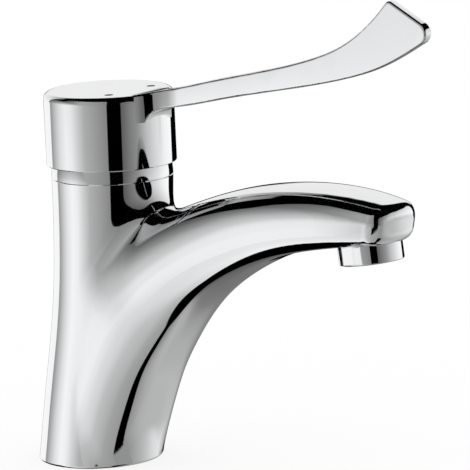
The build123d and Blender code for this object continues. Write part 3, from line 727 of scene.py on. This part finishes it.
    def spout(self) -> bmesh.types.BMesh:
        """The spout from inside the foot to its rounded nose.

        Returns:
            The closed skin.
        """
        front, crown, places = self._stations()
        lows = Curve(places, front).evenly(self.section_count)
        highs = Curve(places, crown).evenly(self.section_count)
        low, high = lows[-1], highs[-1]
        up = (high - low) / np.linalg.norm(high - low)
        out = np.array((up[1], -up[0]))
        outlines = []
        for index in range(self.section_count):
            place = index / (self.section_count - 1)
            wide, crown_power, front_power, narrowing = (
                float(np.interp(place, places, table))
                for table in (self.width_shares, self.crown_powers, self.front_powers, self.narrowing_shares)
            )
            half_width = self.nose_half_width + (self.root_half_width - self.nose_half_width) * wide
            powers = (crown_power, front_power)
            section = self._section(lows[index], highs[index], half_width, powers, narrowing)
            bowing = max(0.0, (place - self.bow_start) / (1 - self.bow_start)) ** 2
            outlines.append(self._bowed(section, out, half_width, bowing))
        sections = []
        for angle in self.nose_angles:
            turn = math.radians(angle)
            inset = self.nose_round * (1 - math.cos(turn))
            ahead = out * (self.nose_round * math.sin(turn))
            sections.append((low + up * inset + ahead, high - up * inset + ahead, half_width - inset))
        middle, half = (low + high) / 2 + ahead, (high - low) / 2 - up * inset
        for share in self.nose_fill_shares:
            sections.append((middle - half * share, middle + half * share, (half_width - inset) * share))
        ends = [self._bowed(self._section(*section, powers), out, half_width, 1.0) for section in sections]
        ends.insert(0, outlines[-1])
        skins = ((outlines, self.spout_rings), (ends, self.nose_rings))
        return together(lofted(np.array(lines), rings) for lines, rings in skins)

    def _bowed(self, points: np.ndarray, out: np.ndarray, half_width: float, share: float) -> np.ndarray:
        """Draws the middle of an outline out and its sides back, so that the nose is rounded in plan.

        Args:
            points: the outline's points.
            out: the way out of the nose, as x and z.
            half_width: half the width of the spout there.
            share: how much of the bow this outline gets.

        Returns:
            The moved points.
        """
        back = share * (self.nose_bow * (points[:, 1] / half_width) ** 2 - self.nose_reach)
        x, z = (points[:, axis] - way * back for axis, way in zip((0, 2), out))
        return np.stack([x, points[:, 1], z], axis=1)

    def joined(self) -> bmesh.types.BMesh:
        """Column and spout as one even skin with a flowing fillet between them.

        Returns:
            The joined skin, still closed at both ends of the column.
        """
        column, spout = self.column(), self.spout()
        skins = [SmoothSkin(column), SmoothSkin(spout)]
        piece = new_piece("joining", together((column, spout)))
        remesh = piece.modifiers.new("join", "REMESH")
        remesh.mode = "VOXEL"
        remesh.voxel_size = self.voxel
        mesh = settled(piece)
        self._blend(mesh, skins)
        return mesh

    def _blend(self, mesh: bmesh.types.BMesh, skins: Sequence["SmoothSkin"]) -> None:
        """Moves every point on to the cubic smooth union of the two skins.

        Args:
            mesh: the joined skin.
            skins: the two skins that it came from.
        """
        depth_share = 1 / 6  # of the blend's width, where both skins are equally near
        for _ in range(self.blend_passes):
            for vert in mesh.verts:
                first, first_out = skins[0].reading(vert.co)
                second, second_out = skins[1].reading(vert.co)
                near, near_out = (first, first_out) if first < second else (second, second_out)
                half_turn = math.sqrt(max(0.0, (1 + first_out.dot(second_out)) / 2))
                width = self._blend_at(vert.co.z) * (1 - half_turn) / depth_share
                apart = abs(first - second)
                if width <= NO_WIDTH or apart >= width:
                    vert.co -= near_out * near
                    continue
                share = 1 - apart / width
                value = near - share**3 * width * depth_share
                mix = share**2 / 2
                far_out = second_out if first < second else first_out
                out = (near_out * (1 - mix) + far_out * mix).normalized()
                vert.co -= out * value
            axes = {"use_axis_x": True, "use_axis_y": True, "use_axis_z": True}
            bmesh.ops.smooth_vert(mesh, verts=mesh.verts, factor=self.blend_evening, **axes)

    def _blend_at(self, height: float) -> float:
        """The radius of the flowing fillet at a height.

        Args:
            height: where on the casting.

        Returns:
            The radius, larger in the soft hollow low on the side.
        """
        low, high = self.blend_heights
        share = min(max((high - height) / (high - low), 0.0), 1.0)
        share = share * share * (3 - 2 * share)
        return self.blend_radius + (self.low_blend_radius - self.blend_radius) * share

    def finished(self) -> bmesh.types.BMesh:
        """The casting cut to length, with its base edge rounded and its hollows open.

        Returns:
            The closed shape, still without the outlet's bore.
        """
        mesh = self.joined()
        foot = self._cut(mesh, self.base_round, -1.0, self.spout_length)
        reach = self.neck_lean + self.neck_cut_share * self.neck_radius
        neck = self._cut(mesh, self.neck_height - self.neck_edge, 1.0, reach)
        self._close_foot(mesh, foot)
        for radius, height in self.neck_steps:
            neck = drawn_ring(mesh, neck, self.neck_lean, radius, height)
        bmesh.ops.contextual_create(mesh, geom=neck)
        return mesh

    @staticmethod
    def _cut(mesh: bmesh.types.BMesh, height: float, side: float, reach: float) -> list[bmesh.types.BMEdge]:
        """Cuts the shape level and drops what lies beyond.

        Args:
            mesh: the shape.
            height: where to cut.
            side: 1 to drop what is above, -1 to drop what is below.
            reach: how far forward the cut goes.

        Returns:
            The edges round the cut.
        """
        verts = [vert for vert in mesh.verts if vert.co.x < reach]
        edges = {edge for vert in verts for edge in vert.link_edges}
        faces = {face for vert in verts for face in vert.link_faces}
        geometry = [*{vert for face in faces for vert in face.verts}, *edges, *faces]
        plane = {"plane_co": (0, 0, height), "plane_no": (0, 0, side)}
        bmesh.ops.bisect_plane(mesh, geom=geometry, dist=CUT_WELD, clear_outer=True, **plane)
        rims = (edge for edge in mesh.edges if edge.is_boundary)
        return [edge for edge in rims if abs(edge.verts[0].co.z - height) < LEVEL_TOLERANCE]

    def _close_foot(self, mesh: bmesh.types.BMesh, foot: list[bmesh.types.BMEdge]) -> None:
        """Rounds the base edge and forms the gasket's groove, the mouth and the hollow above it.

        Args:
            mesh: the shape, cut at the top of the base edge's rounding.
            foot: the edges round the cut.
        """
        shaft = self._shaft()
        for step in range(1, self.base_round_steps + 1):
            turn = math.pi / 2 * step / self.base_round_steps
            height = self.base_round * (1 - math.sin(turn))
            x, radius = shaft.at(height)
            foot = drawn_ring(mesh, foot, x, radius - self.base_round * (1 - math.cos(turn)), height)
        groove_inner, groove_outer = self.groove_radii
        for radius, height in (
            (groove_outer, 0.0),
            (groove_outer, self.groove_depth),
            (groove_inner, self.groove_depth),
            (groove_inner, 0.0),
            (self.mouth_radius, 0.0),
            (self.mouth_radius, self.mouth_height),
        ):
            foot = drawn_ring(mesh, foot, 0.0, radius, height)
        roof = drawn_ring(mesh, foot, self.roof_x, self.roof_radius, self.roof_height, self.roof_x)
        bmesh.ops.contextual_create(mesh, geom=roof)


class SmoothSkin:
    """A closed skin that says how far a point lies outside it."""

    def __init__(self, mesh: bmesh.types.BMesh) -> None:
        """Reads the skin.

        Args:
            mesh: the closed skin, with its faces pointing outwards.
        """
        copy = mesh.copy()
        bmesh.ops.triangulate(copy, faces=copy.faces)
        copy.normal_update()
        copy.verts.index_update()
        self.tree = BVHTree.FromBMesh(copy)
        self.corners = [[v.index for v in face.verts] for face in copy.faces]
        self.points = [v.co.copy() for v in copy.verts]
        self.outs = [v.normal.copy() for v in copy.verts]
        copy.free()

    def reading(self, point: Vector) -> tuple[float, Vector]:
        """The distance outside the skin and the way out.

        Args:
            point: the place to read.

        Returns:
            The distance, negative inside, and the outward direction.
        """
        where, flat_out, index, _ = self.tree.find_nearest(point)
        a, b, c = self.corners[index]
        pa, pb, pc = self.points[a], self.points[b], self.points[c]
        whole = (pb - pa).cross(pc - pa).length
        if whole < NO_AREA:
            return (point - where).dot(flat_out), flat_out
        wa = (pb - where).cross(pc - where).length / whole
        wb = (pc - where).cross(pa - where).length / whole
        wc = max(0.0, 1 - wa - wb)
        out = (self.outs[a] * wa + self.outs[b] * wb + self.outs[c] * wc).normalized()
        return (point - where).dot(flat_out), out


@dataclass(frozen=True)
class SoftBox:
    """A lit panel round the tap, as the chrome sees it.

    Angles are in degrees. Angles to the side are counted from the direction of the camera, to its right.

    Attributes:
        across: the angles of its left and right edges.
        upright: the angles of its lower and upper edges.
        sides: how light it is at angles to the side.
        heights: how much of that light is left at angles up.
        corner: how round its corners are.
        blur: how soft its edges are.
    """

    across: Pair
    upright: Pair
    sides: Pairs
    heights: Pairs = ((0.0, 1.0),)
    corner: float = 5.0
    blur: float = 1.0


SOFT_BOXES = (
    # The tall box on the left, brightest beside the tap, and the dimmer screen that stands above it.
    SoftBox(
        (-127.0, -4.0), (-20.0, 28.0),
        (
            (-124.0, 0.62), (-100.0, 0.88), (-84.0, 0.96), (-72.0, 0.93),
            (-60.0, 0.83), (-45.0, 0.69), (-7.0, 0.54),
        ),
        ((-20.0, 1.0), (-10.0, 1.0), (-3.0, 0.84), (15.0, 0.60), (26.0, 0.46)),
    ),
    SoftBox(
        (-93.0, -4.0), (-20.0, 50.0),
        ((-93.0, 0.36), (-78.0, 0.46), (-52.0, 0.64), (-7.0, 0.52)),
        corner=8.0,
    ),
    # The tall box on the right, with rounded upper corners.
    SoftBox(
        (21.0, 136.0), (-40.0, 21.0),
        ((23.0, 0.38), (52.0, 0.58), (75.0, 0.78), (112.0, 0.95), (135.0, 0.98)),
        ((-40.0, 0.50), (-26.0, 0.82), (-10.0, 1.0), (-5.0, 1.0), (20.0, 0.88)),
        corner=14.0,
    ),
    # The white screen behind, which the top of the cap and the far edges see.
    SoftBox(
        (-168.0, -127.5), (-18.0, 46.0),
        ((-180.0, 0.96),),
        ((-10.0, 1.0), (24.0, 0.90), (46.0, 0.5)),
        corner=3.0,
    ),
    SoftBox((153.0, 200.0), (3.0, 42.0), ((180.0, 0.91),), corner=10.0, blur=4.0),
    # The table, dim in front and bright to the right.
    SoftBox(
        (-83.0, -14.0), (-73.0, -15.0),
        ((-80.0, 0.95), (-58.0, 0.86), (-45.0, 0.76), (-14.0, 0.66)),
        ((-73.0, 0.92), (-45.0, 1.0), (-30.0, 0.98), (-18.0, 0.97)),
        corner=10.0, blur=2.0,
    ),
    SoftBox((-40.0, 31.0), (-73.0, -25.0), ((-40.0, 0.70), (-7.0, 0.63), (30.0, 0.59)), corner=6.0, blur=2.0),
    SoftBox((20.0, 74.0), (-42.0, -17.0), ((20.0, 0.56), (72.0, 0.57)), corner=4.0, blur=2.0),
    SoftBox(
        (62.0, 180.0), (-44.0, -17.0),
        ((62.0, 0.72), (97.0, 0.88), (127.0, 0.95), (142.0, 0.90), (157.0, 0.66), (178.0, 0.49)),
        ((-44.0, 0.74), (-32.0, 0.775), (-22.0, 0.867), (-17.0, 0.92)),
        corner=4.0, blur=2.0,
    ),
    SoftBox(
        (66.0, 180.0), (-74.0, -36.0),
        ((67.0, 0.76), (97.0, 0.87), (127.0, 0.95), (142.0, 0.90), (157.0, 0.66), (178.0, 0.49)),
        ((-73.0, 0.66), (-60.0, 0.73), (-40.0, 0.74)),
        corner=8.0, blur=2.0,
    ),
)


@dataclass
class Studio:
    """Floor, light and camera.

    Attributes:
        camera_turn: how far the camera is turned from the Y axis, in degrees.
        camera_pitch: how far it looks down, in degrees.
        camera_roll: how far it is tipped to the side, in degrees.
        camera_distance: its distance from the target.
        focal_pixels: its focal length in pixels of the photograph.
        image_pixels: the width of the photograph.
        sensor: the width of its sensor in millimetres.
        clip: the nearest and farthest distances that it sees.
        target: the place that it looks at.
        aside: how far it is then shifted to its right.
        raise_by: how far it is then shifted up.
        chrome_gain: how much brighter the soft boxes are than their greys.
        floor_share: the share of the floor's white that shadows can take.
        floor_half_width: half the floor's width.
    """

    camera_turn: float = 39.7
    camera_pitch: float = 10.4
    camera_roll: float = 2.59
    camera_distance: float = 1.581
    focal_pixels: float = 4233.0
    image_pixels: float = 470.0
    sensor: float = 36.0
    clip: Pair = (0.05, 50.0)
    target: tuple[float, float, float] = (50.0 * MM, 0.0, 70.0 * MM)
    aside: float = 16.5 * MM
    raise_by: float = 18.8 * MM
    chrome_gain: float = 1.10
    floor_share: float = 0.18
    floor_half_width: float = 6.0

    def camera(self) -> None:
        """Stands the camera at the photograph's place."""
        turn, pitch, roll = (math.radians(v) for v in (self.camera_turn, self.camera_pitch, self.camera_roll))
        level = math.cos(pitch)
        ahead = Vector((-math.sin(turn) * level, math.cos(turn) * level, -math.sin(pitch)))
        right = Vector((math.cos(turn), math.sin(turn), 0.0))
        up = right.cross(ahead)
        eye = Vector(self.target) + right * self.aside + up * self.raise_by - ahead * self.camera_distance
        rolled_right = right * math.cos(roll) - up * math.sin(roll)
        rolled_up = right * math.sin(roll) + up * math.cos(roll)
        data = bpy.data.cameras.new("camera")
        data.sensor_width = self.sensor
        data.lens = self.focal_pixels * self.sensor / self.image_pixels
        data.clip_start, data.clip_end = self.clip
        camera = bpy.data.objects.new("camera", data)
        axes = Matrix((rolled_right, rolled_up, -ahead)).transposed()
        camera.matrix_world = Matrix.Translation(eye) @ axes.to_4x4()
        bpy.context.scene.collection.objects.link(camera)
        bpy.context.scene.camera = camera

    def world(self) -> None:
        """A plain white surround for the eye and the floor, and tall soft boxes for the chrome."""
        world = bpy.data.worlds.new("studio")
        bpy.context.scene.world = world
        world.use_nodes = True
        graph = Graph(world.node_tree)
        way = graph.node("ShaderNodeTexCoord", output="Generated")
        parts = graph.node("ShaderNodeSeparateXYZ", None, {"Vector": way})
        x, y, z = (Value(graph, parts.socket.node.outputs[k]) for k in range(3))
        spin = math.radians(90.0 - self.camera_turn)
        along = x * math.cos(spin) - y * math.sin(spin)
        across = x * math.sin(spin) + y * math.cos(spin)
        turn = across.maths("ARCTAN2", along) / (2 * math.pi) + 0.5
        rise = z.maths("ARCSINE") / math.pi + 0.5
        boxes = graph.node("ShaderNodeValue")
        boxes.socket.default_value = 0.0
        for box in SOFT_BOXES:
            boxes = boxes.maths("MAXIMUM", self._lit(graph, turn, rise, box))
        boxes = boxes * self.chrome_gain
        glossy = graph.node("ShaderNodeLightPath", output="Is Glossy Ray")
        strength = boxes * glossy + (1.0 - glossy)
        white = {"Color": (1.0, 1.0, 1.0, 1.0), "Strength": strength}
        light = graph.node("ShaderNodeBackground", None, white)
        graph.node("ShaderNodeOutputWorld", None, {"Surface": light})

    def _lit(self, graph: Graph, turn: Value, rise: Value, box: SoftBox) -> Value:
        """The light of one soft box.

        Args:
            graph: the world's graph.
            turn: the angle to the side, as a share of the whole turn from -180 degrees.
            rise: the angle up, as a share of the half turn from -90 degrees.
            box: the soft box.

        Returns:
            Its light, 0 outside it.
        """
        past = []
        for place, angle, (low, high) in ((turn, Angle.SIDE, box.across), (rise, Angle.UP, box.upright)):
            whole = angle.value
            from_middle = (place - 0.5) * whole - (low + high) / 2
            if angle is Angle.SIDE:
                from_middle = (from_middle + 1.5 * whole).maths("FLOORED_MODULO", whole) - whole / 2
            straight = (high - low) / 2 - box.corner
            past.append((from_middle.maths("ABSOLUTE") - straight).maths("MAXIMUM", 0.0))
        far = (past[0] * past[0] + past[1] * past[1]).maths("SQRT")
        within = ((box.corner + box.blur / 2 - far) / box.blur).maths("MAXIMUM", 0.0).maths("MINIMUM", 1.0)
        sides = self._ramp(graph, turn, box.sides, Angle.SIDE)
        heights = self._ramp(graph, rise, box.heights, Angle.UP)
        return within * sides * heights

    @staticmethod
    def _ramp(graph: Graph, place: Value, table: Iterable[Pair], angle: Angle) -> Value:
        """Reads a table of greys by an angle.

        Args:
            graph: the world's graph.
            place: the angle as a share of its span, from 0 to 1.
            table: pairs of degrees from the middle of the span, rising, and greys.
            angle: which of the two angles it is.

        Returns:
            The light at the angle.
        """
        stops = [(degrees / angle.value + 0.5, linear(grey)) for degrees, grey in table]
        if len(stops) == 1:
            return graph.node("ShaderNodeMath", {"operation": "ADD"}, {0: stops[0][1], 1: 0.0})
        return graph.node("ShaderNodeValToRGB", {"stops": stops}, {"Fac": place})

    def floor(self) -> None:
        """A wide pale floor that keeps the tap's soft shadow."""
        mesh = bmesh.new()
        bmesh.ops.create_grid(mesh, x_segments=1, y_segments=1, size=self.floor_half_width)
        data = bpy.data.meshes.new("floor")
        mesh.to_mesh(data)
        mesh.free()
        floor = bpy.data.objects.new("floor", data)
        bpy.context.scene.collection.objects.link(floor)
        made = bpy.data.materials.new("pale_floor")
        made.use_nodes = True
        graph = Graph(made.node_tree)
        inputs = {
            "Base Color": (self.floor_share, self.floor_share, self.floor_share, 1.0),
            "Roughness": 1.0,
            "Specular IOR Level": 0.0,
            "Emission Color": (1.0, 1.0, 1.0, 1.0),
            "Emission Strength": 1.0 - self.floor_share,
        }
        surface = graph.node("ShaderNodeBsdfPrincipled", None, inputs)
        graph.node("ShaderNodeOutputMaterial", None, {"Surface": surface})
        data.materials.append(made)
        floor.visible_glossy = False

    def build(self) -> None:
        """Sets the whole stage."""
        self.camera()
        self.world()
        self.floor()
        bpy.context.scene.view_settings.view_transform = "Standard"


def dress_nodes(finishes: Finishes) -> None:
    """Gives every CAD node its finish.

    Args:
        finishes: the shared materials.
    """
    for finish, nodes in FINISH_NODES.items():
        for node in nodes:
            finishes.dress(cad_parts[node], finish)
            log.info("dressed %s with %s", node, finish.name)


@dataclass
class Outlet:
    """The bore in the spout that takes the outlet's fittings.

    Attributes:
        place: the middle of the outlet's lower end.
        tilt: how far the bore leans back to the column as it rises, in degrees.
        steps: radius and height above that end of each step, from below.
        segments: the points of each ring.
    """

    place: tuple[float, float, float] = (134.991 * MM, 0.0, 87.201 * MM)
    tilt: float = 6.5
    steps: Pairs = (
        (12.2 * MM, -7.0 * MM), (12.2 * MM, 7.2 * MM), (11.4 * MM, 7.2 * MM),
        (11.4 * MM, 16.3 * MM), (8.0 * MM, 16.3 * MM), (8.0 * MM, 19.3 * MM),
    )
    segments: int = 160

    def cutter(self) -> bpy.types.Object:
        """The shape of the bore as a solid.

        Returns:
            The cutting piece.
        """
        rings = [
            [
                Vector((radius * math.cos(turn), radius * math.sin(turn), rise))
                for turn in (2 * math.pi * k / self.segments for k in range(self.segments))
            ]
            for radius, rise in self.steps
        ]
        mesh = swept_skin(rings)
        lie = Matrix.Translation(self.place) @ Matrix.Rotation(math.radians(-self.tilt), 4, "Y")
        bmesh.ops.transform(mesh, matrix=lie, verts=mesh.verts)
        return new_piece("outlet_cutter", mesh)

    def bored(self, solid: bmesh.types.BMesh) -> bmesh.types.BMesh:
        """Bores a solid for the outlet.

        Args:
            solid: the casting, which is used up.

        Returns:
            The bored casting.
        """
        casting, cutter = new_piece("unbored", solid), self.cutter()
        cut = casting.modifiers.new("bore", "BOOLEAN")
        cut.object, cut.operation, cut.solver = cutter, "DIFFERENCE", "EXACT"
        bored = settled(casting)
        settled(cutter).free()
        return bored


@dataclass
class Chromework:
    """The chromed pieces that stand for their CAD nodes.

    Attributes:
        finishes: the shared materials.
    """

    finishes: Finishes

    def body(self) -> bpy.types.Object:
        """The body casting.

        Returns:
            The finished piece.
        """
        piece = new_piece("body_casting", Outlet().bored(BodyCasting().finished()))
        self._stands_for(piece, "body", "tap")
        return piece

    def turned_pieces(self) -> None:
        """Cover ring, lever and outlet collar from the CAD's own surfaces."""
        for node, body, slot in (
            ("cover_ring", "tap", "chrome_ring"),
            ("lever_handle", "lever", "chrome_lever"),
            ("aerator_collar", "tap", "chrome_outlet"),
        ):
            self._stands_for(merged_copy(node, f"{node}_bright"), node, body)

    def _stands_for(self, piece: bpy.types.Object, node: str, body: str) -> None:
        """Dresses a piece in chrome and puts it in its node's place.

        Args:
            piece: the visual piece.
            node: the CAD node that it stands for.
            body: the moving body that it belongs to.
        """
        self.finishes.dress(piece, CHROME)
        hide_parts(node)
        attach(piece, body)
        log.info("%s stands for %s with %d faces", piece.name, node, len(piece.data.polygons))


def main() -> None:
    """Builds the stage and every piece."""
    logging.basicConfig(level=logging.INFO)
    finishes = Finishes()
    dress_nodes(finishes)
    chrome = Chromework(finishes)
    chrome.body()
    chrome.turned_pieces()
    Studio().build()


if __name__ == "__main__":
    main()
